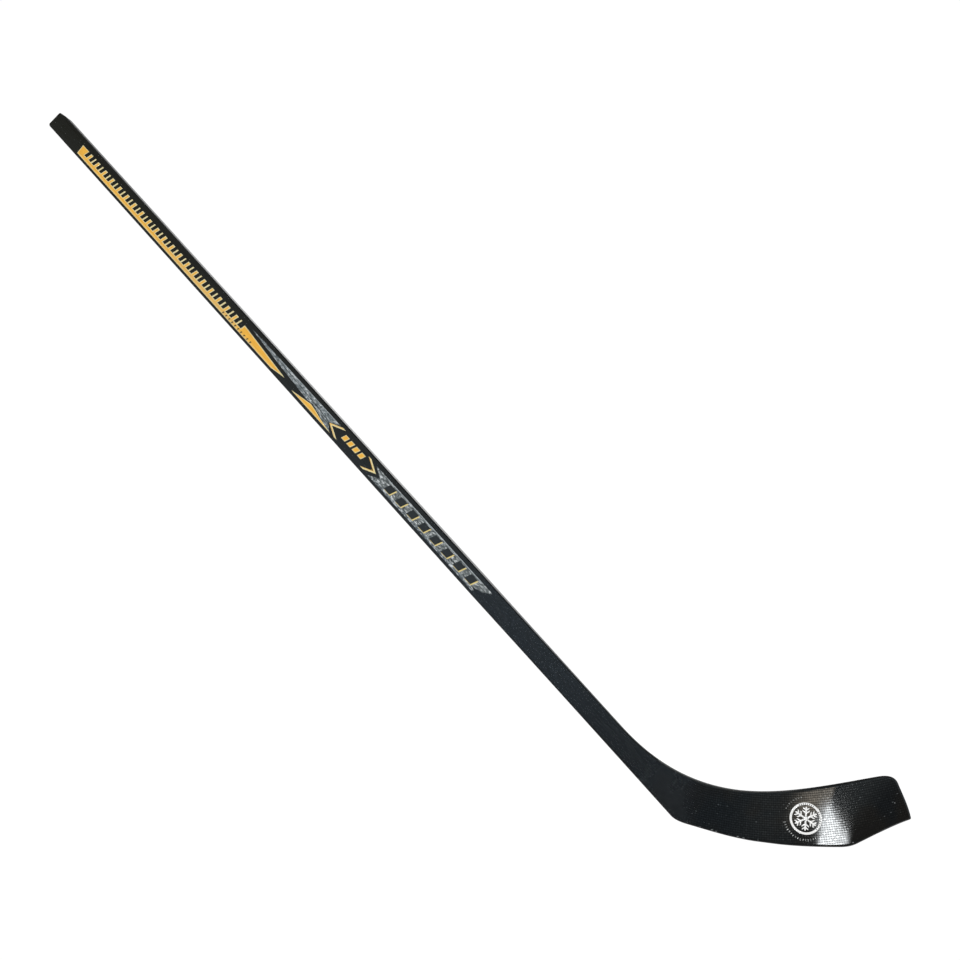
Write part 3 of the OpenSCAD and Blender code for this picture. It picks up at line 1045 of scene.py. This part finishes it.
def cloth_mesh(side):
    """Verts, faces and weave coordinates of the cloth on the front (-1) or back (1)."""
    low, top = columns()

    def grid(shares):
        return (low[:, None, :] + (top - low)[:, None, :] * shares[None, :, None]).reshape(-1, 2)

    # rows lie a little closer near both edges, where the surface rounds over
    shares = np.linspace(0, 1, ROWS)
    flat = grid(shares - 0.012 * np.sin(2 * np.pi * shares))
    height, inside, u, v = relief(flat)
    inside_grid = inside.reshape(COLS, ROWS)
    inside_grid[:, [0, -1]] = RIM
    height_grid = height.reshape(COLS, ROWS)
    height_grid[:, [0, -1]] = 0
    height_grid[[0, -1], :] = 0
    y = middle_at(flat) + side * (rounded(half_at(flat), inside) + height)
    outer = np.stack([flat[:, 0], y, flat[:, 1]], -1)
    flat_in = grid(np.linspace(0, 1, IN_ROWS))

    base = COLS * ROWS
    faces = []
    for i in range(COLS - 1):
        a, b = i * ROWS, base + i * IN_ROWS
        a2, b2 = a + ROWS, b + IN_ROWS
        faces += [(a + j, a2 + j, a2 + j + 1, a + j + 1) for j in range(ROWS - 1)]
        faces += [(b + j, b + j + 1, b2 + j + 1, b2 + j) for j in range(IN_ROWS - 1)]
        faces.append((a, b, b2, a2))
        faces.append((a2 - 1, a2 + ROWS - 1, b2 + IN_ROWS - 1, b2 - 1))
    faces.append((*range(ROWS), *range(base + IN_ROWS - 1, base - 1, -1)))
    last_in = base + (COLS - 1) * IN_ROWS
    faces.append((*range(base - 1, base - ROWS - 1, -1), *range(last_in, last_in + IN_ROWS)))
    u_in, v_in = cloth_uv(flat_in)
    wv = np.vstack([np.stack([u, v, relief_fade(flat, inside)], -1),
                    np.stack([u_in, v_in, np.zeros(len(flat_in))], -1)])
    return (np.vstack([outer, core_face(side)(flat_in)]), faces), wv


for face, side, material in (("front", -1, cloth("blade_cloth", with_nicks=True)),
                             ("back", 1, cloth("blade_cloth_back", with_nicks=False))):
    mesh, wv = cloth_mesh(side)
    o = make(f"blade_{face}_cloth_weave", mesh, material, "woven_glass", f"blade_{face}_cloth",
             sharp=60)
    attribute = o.data.attributes.new("wv", "FLOAT_VECTOR", "POINT")
    attribute.data.foreach_set("vector", wv.astype(np.float32).ravel())


def rim_loops():
    """Sections of the resin edge, worn in a little here and there."""
    inside = np.array([RIM, 1.05, 0.72, 0.45, 0.24, 0.1, 0.0])
    count, wear_step = len(edge), 12
    wear = np.interp(np.arange(count), np.arange(0, count + wear_step, wear_step),
                     rng.uniform(-0.05, 0.05, count // wear_step + 2))
    loops = []
    for k in range(count):
        half = rounded(float(half_at(edge[k][None] + inward[k] * 0.7)[0]), inside)
        middle = middle_at(edge[k] + inside[:, None] * inward[k])
        bite = max(wear[k] * smoothstep(min(k, count - 1 - k), 4, 16), 0)
        worn = inside + np.where(inside < 0.5, bite * (1 - inside * 2), 0)
        p = edge[k] + worn[:, None] * inward[k]
        loops.append(np.vstack([np.stack([p[:, 0], middle - half, p[:, 1]], -1),
                                np.stack([p[:, 0], middle + half, p[:, 1]], -1)[::-1]]))
    return loops


make("blade_edge_resin", loft(rim_loops()), resin("edge_resin"), "black_resin",
     "blade_edge_rim", sharp=60)


# ------------------------------------------------------------------ printed graphics
# Shapes are (along, across) points; heights are above the lacquered face.
def on_front(height):
    def at(flat):
        y = -(neck_half(LENGTH - flat[:, 0]) + height)
        return shaft_point(flat[:, 0], flat[:, 1], y)
    return at


def on_upper_edge(height):
    """The upper narrow face; the shapes' second number is depth."""
    return lambda flat: shaft_point(flat[:, 0], HALF_W + height, flat[:, 1])


def taper_cuts(poly):
    """Cuts that let a print follow the thinning neck."""
    along = poly[:, 0]
    start = max(LENGTH - TAPER - 4, along.min())
    return [((c, 0), (1, 0)) for c in np.arange(start, along.max(), 3.0)]


def anticlockwise(poly):
    p = np.asarray(poly, float)
    x, y = p[:, 0], p[:, 1]
    area = (x * np.roll(y, -1) - np.roll(x, -1) * y).sum()
    return p if area > 0 else p[::-1]


def printed(name, polys, low, high, material, onto=on_front):
    parts = []
    for poly in map(anticlockwise, polys):
        cuts = taper_cuts(poly) if onto is on_front else []
        parts.append(plate_mesh(poly, cuts, onto(low), onto(high)))
    make(name, join(*parts), material, "black_lacquer", sharp=None)


def slab(start, end, low, high, lean=0.0):
    return [(start, low), (end, low), (end + lean, high), (start + lean, high)]


cream = ink("ink_cream", rgb(230, 218, 168), rgb(210, 194, 138), speck=rgb(140, 122, 80),
            speck_amount=0.25)
yellow = ink("ink_yellow", rgb(240, 182, 66), rgb(230, 170, 56), scale=0.24,
             speck=rgb(214, 150, 44), speck_amount=0.15, lines=True)
dark_ink = ink("ink_dark", rgb(30, 33, 35), rgb(38, 41, 43))
silver = foil("foil_silver", mid=rgb(110, 119, 123), light=rgb(164, 172, 175),
              dark=rgb(60, 66, 69))
silver_mid = foil("foil_band_silver", mid=rgb(100, 106, 107), light=rgb(156, 162, 162),
                  dark=rgb(48, 53, 55))
silver_low = foil("foil_blue_silver", mid=rgb(84, 92, 97), light=rgb(144, 152, 157),
                  dark=rgb(52, 58, 62))
pale_line = ink("ink_pale_line", rgb(176, 184, 188), rgb(150, 158, 162),
                speck=rgb(90, 96, 100), speck_amount=0.4)

# a band with slanted bars that rise from it, wide and narrow in turn
BAND_LOW, BAND_TOP, BAR_TOP = -10.7, -4.7, 4.9
LEAN = 2.6
bar_starts = [99.0 + 20.7 * k for k in range(20)]
wide = [(s + 1.5, s + 7.3) for s in bar_starts]
thin = [(s + 13.6, s + 16.2) for s in bar_starts]
band = [(81.0, BAND_LOW), (600.0, BAND_LOW), (627.5, -5.4), (519.5, 3.0), (518.0, BAND_TOP)]
for a, b in sorted(wide + thin, reverse=True):
    band += [(b, BAND_TOP), (b + LEAN, BAR_TOP), (a + LEAN, BAR_TOP), (a, BAND_TOP)]
band += [(94.0, BAND_TOP), (96.6, BAR_TOP), (79.0, BAR_TOP)]
sliver = [(649.5, -10.3), (742.0, -10.3), (716.0, -6.9), (700.0, -3.9), (688.0, -2.4),
          (672.0, -5.6)]
left_v = [(750.5, 8.8), (757.0, 8.8), (735.6, -0.7), (756.5, -9.8), (750.0, -9.8),
          (729.3, -0.7)]
right_v = [(809.5, 8.8), (816.0, 8.8), (836.6, -0.7), (817.0, -9.8), (810.5, -9.8),
           (830.4, -0.7)]
MARK_PITCH = 12.2
marks = [slab(759.0 + MARK_PITCH * k, 767.4 + MARK_PITCH * k, -2.8, 5.4, 3.0) for k in range(4)]
printed("print_cream_rim", [band, sliver, left_v, right_v] + marks, -0.02, 0.025, cream)

# yellow fillings inside the cream shapes
yellow_band = [(82.0, -9.9), (598.5, -9.9), (619.0, -5.9), (520.6, 1.9), (519.4, -5.5),
               (92.6, -5.5), (95.2, 4.1), (80.4, 4.1)]
yellow_bars = [slab(a + 1.3, b - 1.5, -5.5, BAR_TOP - 1.4, 2.2) for a, b in wide]
yellow_bars += [
    [(656.0, -9.6), (732.0, -9.6), (714.0, -7.4), (699.5, -4.8), (688.2, -3.3), (673.0, -6.2)],
    [(751.2, 8.3), (752.8, 8.3), (732.0, -0.7), (752.0, -9.4), (750.6, -9.4), (730.2, -0.7)],
    [(810.6, 8.3), (811.8, 8.3), (832.2, -0.7), (813.0, -9.4), (811.6, -9.4), (830.9, -0.7)]]
yellow_bars += [slab(760.1 + MARK_PITCH * k, 766.5 + MARK_PITCH * k, -2.0, 4.6, 2.4)
                for k in range(4)]
printed("print_yellow", [yellow_band], 0.02, 0.045, yellow)
printed("print_yellow_bars", yellow_bars, 0.022, 0.05, yellow)

wedge = [
    (533.0, 7.5), (560.0, 5.5), (580.0, 3.9), (600.0, 2.1), (620.0, 1.0), (640.0, -0.1),
    (660.0, -1.3), (677.0, -2.6), (688.0, -0.9), (699.0, -2.2), (714.0, -5.4), (731.0, -8.6),
    (738.5, -9.7), (727.3, -0.8), (746.0, 8.3), (600.0, 8.4), (566.0, 8.3)]
printed("print_silver_wedge", [wedge], -0.02, 0.024, silver)
silver_band = [
    (828.5, 7.9), (846.0, -1.0), (829.0, -10.4), (1055.5, -10.4), (1057.0, -8.2),
    (1052.0, -6.6), (1062.5, -3.2), (1067.0, -1.6), (1079.5, 6.8), (1074.0, 7.6)]
printed("print_silver_band", [silver_band], -0.02, 0.024, silver_mid)
blue_strip = [(834.0, -7.6), (858.0, -7.4), (1049.0, -7.4), (1054.5, -8.2), (1054.0, -10.0),
              (830.5, -10.0)]
printed("print_blue_strip", [blue_strip], 0.02, 0.036, silver_low)
printed("print_pale_line",
        [slab(856, 1060, 6.7, 7.5), slab(600, 742, 7.6, 8.2), slab(852, 1040, -7.5, -7.1)],
        0.02, 0.04, pale_line)

# dark slanted bars, each over a gold one that shows as a rim
bars = [slab(860.0 + 25.0 * k, 872.8 + 25.0 * k, -6.3, 4.9, 4.0) for k in range(8)]
bar_rims = [[(x + 1.8, y - 0.5) for x, y in bar] for bar in bars]
printed("print_bar_rims", bar_rims, 0.02, 0.045,
        ink("ink_gold_rim", rgb(226, 204, 130), rgb(206, 186, 122), scale=1.2,
            speck=rgb(160, 160, 150), speck_amount=0.5))
printed("print_dark_bars", bars, 0.04, 0.06, dark_ink)
dark_lines = [
    [(560.0, 6.6), (640.0, 4.2), (700.0, 1.0), (728.0, -1.2), (728.6, -0.4), (700.0, 2.0),
     (640.0, 5.0)],
    [(690.0, -1.2), (730.5, -3.6), (731.5, -2.9), (690.0, -0.6)]]
printed("print_dark_lines", dark_lines, 0.022, 0.04, dark_ink)
printed("print_small_ticks",
        [slab(476.0 + 7.6 * k, 478.0 + 7.6 * k, -9.6, -6.4, 1.0) for k in range(10)],
        0.04, 0.055, dark_ink)

# row of small marks on the upper narrow face, with gaps
narrow = []
for start in np.arange(575, 1010, 9.5):
    if rng.rand() > 0.22:
        width = 1.5 + 2.0 * rng.rand()
        narrow.append(slab(start, start + width, -3.0 + rng.rand(), 2.4, 0.4))
printed("print_narrow_face_ticks", narrow, -0.02, 0.03,
        ink("ink_narrow", rgb(88, 88, 84), rgb(70, 70, 68)), on_upper_edge)

# ------------------------------------------------------------------ blade emblem
EMBLEM = np.array([43.4, 35.0])  # X-Z of its centre
RING_R = 19.2
RING_WIDTH = 2.7
SUNK, RAISED = -0.05, 0.05  # heights of a print's two sides from the cloth


def skin(flat, height):
    """Front of the blade plus height, weave included, at X-Z points."""
    bump, inside, _, _ = relief(flat)
    y = middle_at(flat) - (rounded(half_at(flat), inside) + bump + height)
    return np.stack([flat[:, 0], y, flat[:, 1]], -1)


def ring_mesh():
    radii = np.linspace(RING_R - RING_WIDTH, RING_R, 5)
    loops = []
    for angle in np.radians(np.linspace(0, 360, 161))[:-1]:
        p = EMBLEM + radii[:, None] * np.array([math.cos(angle), math.sin(angle)])
        loops.append(np.vstack([skin(p, RAISED), skin(p[::-1], SUNK)]))
    return loft(loops, closed=True)


def blade_patch(poly, angle, low=SUNK, high=RAISED, step=1.4):
    """Polygon about the emblem's centre, turned by degrees and laid on the cloth."""
    a = math.radians(angle)
    turn = np.array([[math.cos(a), math.sin(a)], [-math.sin(a), math.cos(a)]])
    p = anticlockwise(np.asarray(poly, float) @ turn + EMBLEM)
    start, end = p.min(0), p.max(0)
    cuts = [((x, 0), (1, 0)) for x in np.arange(start[0] + step, end[0], step)]
    cuts += [((0, z), (0, 1)) for z in np.arange(start[1] + step, end[1], step)]
    return plate_mesh(p, cuts, lambda q: skin(q, low), lambda q: skin(q, high))


def emblem_print(name, mesh, material):
    make(name, mesh, material, "woven_glass", sharp=None)


white = white_ink("ink_white")
emblem_print("blade_emblem_ring", ring_mesh(), white)

# six arms, each with two pairs of branches, round a hexagon
parts = []
arm = [(2.6, -1.0), (13.6, -1.0), (14.6, 0), (13.6, 1.0), (2.6, 1.0)]
for k in range(6):
    angle = 30 + 60 * k
    parts.append(blade_patch(arm, angle))
    for radius, size in ((6.2, 4.2), (10.0, 3.4)):
        reach = radius + size * 0.62
        for side in (-1, 1):
            tip = side * (1.0 + size * 0.8)
            parts.append(blade_patch([(radius, side * 1.0), (radius + 1.9, side * 1.0),
                                      (reach + 1.5, tip), (reach - 0.1, tip)], angle))
hexagon = [(2.6 * math.cos(math.radians(t)), 2.6 * math.sin(math.radians(t)))
           for t in range(0, 360, 60)]
parts.append(blade_patch(hexagon, 0, high=0.052))
emblem_print("blade_emblem_snowflake", join(*parts), white)

ring_tick = slab(RING_R - 2.5, RING_R - 0.8, -0.42, 0.42)
emblem_print("blade_emblem_ring_ticks",
             join(*[blade_patch(ring_tick, angle, low=0.04, high=0.062)
                    for angle in [*range(62, 121, 8), *range(-40, 41, 9)]]), dark_ink)

# arcs of ticks outside the ring, below and at the upper left
parts = []
for k, angle in enumerate(np.linspace(196, 322, 19)):
    size = 2.0 if k % 3 else 2.8
    parts.append(blade_patch(slab(RING_R + 5.4, RING_R + 5.4 + size, -0.55, 0.45), angle,
                             high=0.045))
for angle in np.linspace(105, 158, 8):
    parts.append(blade_patch(slab(RING_R + 5.8, RING_R + 7.2, -0.4, 0.35), angle, high=0.045))
emblem_print("blade_emblem_arc_ticks", join(*parts), grey_ink("ink_grey_worn"))


# ------------------------------------------------------------------ stage
def stage_material(name):
    """Near-white floor that glows by itself and takes only faint shadows."""
    net = material_net(name)
    tone = net.pos.noise(scale=0.004).mix((0.985, 0.985, 0.985), (1.0, 1.0, 1.0))
    glow = net.value("ShaderNodeEmission", {"Color": tone, "Strength": 1.0})
    matt = net.value("ShaderNodeBsdfDiffuse", {"Color": (0.05, 0.05, 0.05)})
    both = net.value("ShaderNodeAddShader", {0: glow, 1: matt})
    net.add("ShaderNodeOutputMaterial", {0: both})
    return net.owner


def build_floor(half=30, z=-0.002):
    """Square floor, in metres."""
    me = bpy.data.meshes.new("stage_floor")
    me.from_pydata([(-half, -half, z), (half, -half, z), (half, half, z), (-half, half, z)],
                   [], [(0, 1, 2, 3)])
    floor = bpy.data.objects.new("stage_floor", me)
    bpy.context.scene.collection.objects.link(floor)
    me.materials.append(stage_material("stage_pale"))
    floor.visible_glossy = False


build_floor()

# ------------------------------------------------------------------ world
# What reflections see, by elevation in degrees: on the front (-Y) side and on the back
FRONT_SKY = [
    (-90, (0.22,) * 3), (-35, (0.22,) * 3), (-14, (0.07, 0.07, 0.065)),
    (-9, (0.10, 0.11, 0.12)), (-5, (0.13, 0.18, 0.215)), (-2.3, (0.14, 0.19, 0.22)),
    (-0.8, (0.42, 0.55, 0.66)), (3, (0.58, 0.78, 1.00)), (7, (0.42, 0.48, 0.50)),
    (10.3, (0.36, 0.38, 0.32)), (17, (0.30, 0.32, 0.25)), (21.5, (0.13, 0.13, 0.06)),
    (24, (0.06, 0.05, 0.01)), (34, (0.06, 0.05, 0.02)), (60, (0.10,) * 3), (90, (0.10,) * 3)]
BACK_SKY = [(elevation, (grey,) * 3) for elevation, grey in (
    (-90, 0.8), (-25, 0.8), (-8, 0.25), (2, 0.06), (10, 0.13), (13, 0.27), (17, 0.95),
    (21, 1.20), (25, 1.10), (29, 0.66), (33, 0.24), (50, 0.14), (90, 0.10))]


def build_world():
    world = bpy.data.worlds.new("studio")
    bpy.context.scene.world = world
    net = Net(world)
    dx, dy, dz = net.split(net.value("ShaderNodeTexCoord", output="Generated"))
    elevation = dz.math("ARCSINE") * (180 / math.pi)
    azimuth = dx.math("ARCTAN2", dy * -1.0) * (180 / math.pi)  # from -Y towards +X

    def sky(stops):
        return elevation.remap(-90, 90).ramp([((e + 90) / 180, color) for e, color in stops])

    def patch(left, right, bottom, top):
        """Soft-edged rectangle; each side is (where it is 0, where it is 1)."""
        return (azimuth.step(*left) * azimuth.step(*right)
                * (elevation.step(*bottom) * elevation.step(*top)))

    gloss = dy.step(-0.25, 0.25).mix(sky(FRONT_SKY), sky(BACK_SKY))
    # low window to the right of the camera, with slanted sides, which the blade's curve
    # picks up
    left_edge = 10.3 + (-6.9 - elevation) * 0.7
    right_edge = 11.7 + (-7.0 - elevation) * 3.7
    window = ((azimuth - left_edge).step(-1.6, 1.0) * (right_edge - azimuth).step(-0.5, 0.5)
              * (elevation.step(-11.9, -10.9) * elevation.step(-6.1, -7.0)))
    glow = patch(left=(4.6, 8.6), right=(14.0, 10.5), bottom=(-7.6, -6.4), top=(-5.2, -6.2))
    warm = azimuth.step(11.0, 22.0) * (elevation.step(-11.5, -9.0) * elevation.step(2.0, -3.0))
    halo = patch(left=(-4.5, 3.5), right=(14.0, 8.0), bottom=(-8.8, -6.8), top=(-3.5, -5.0))
    black = (0.0, 0.0, 0.0)
    lit = window.mix(halo.mix(black, (0.20, 0.20, 0.18)), (27.0, 28.0, 28.5))
    lit = lit.toward((4.6, 4.1, 3.4), glow * (1.0 - window))
    warm_color = azimuth.step(15.0, 27.0).mix((0.60, 0.60, 0.56), (0.34, 0.37, 0.36))
    lights = net.value("ShaderNodeVectorMath", {0: lit, 1: warm.mix(black, warm_color)},
                       operation="ADD")

    def background(color, strength=1.0):
        return net.value("ShaderNodeBackground", {"Color": color, "Strength": strength})

    reflected = net.value("ShaderNodeAddShader", {0: background(lights), 1: background(gloss)})
    plain = background((1.0, 1.0, 1.0), strength=1.02)
    is_glossy = net.value("ShaderNodeLightPath", output="Is Glossy Ray")
    shader = net.value("ShaderNodeMixShader", {0: is_glossy, 1: plain, 2: reflected})
    net.add("ShaderNodeOutputWorld", {0: shader})
    # the cycles settings are missing where that engine isn't loaded
    try:
        world.cycles.sampling_method = "NONE"
    except (AttributeError, TypeError):
        pass


build_world()


# ------------------------------------------------------------------ camera
def build_camera():
    lens = bpy.data.cameras.new("camera")
    camera = bpy.data.objects.new("camera", lens)
    bpy.context.scene.collection.objects.link(camera)
    right = Vector((0.95998, 0.26215, 0.09853)).normalized()
    up = Vector((-0.05451, -0.17019, 0.98390)).normalized()
    backward = right.cross(up).normalized()
    turn = Matrix((right, up, backward)).transposed().to_4x4()
    camera.matrix_world = Matrix.Translation(Vector((0.04158, -1.58276, 0.18564))) @ turn
    lens.sensor_width = 36.0
    lens.lens = 45.0
    lens.clip_start = 0.01
    lens.clip_end = 100.0
    bpy.context.scene.camera = camera


build_camera()
bpy.context.scene.view_settings.view_transform = "Standard"
bpy.context.scene.view_settings.look = "None"

bpy.context.view_layer.update()
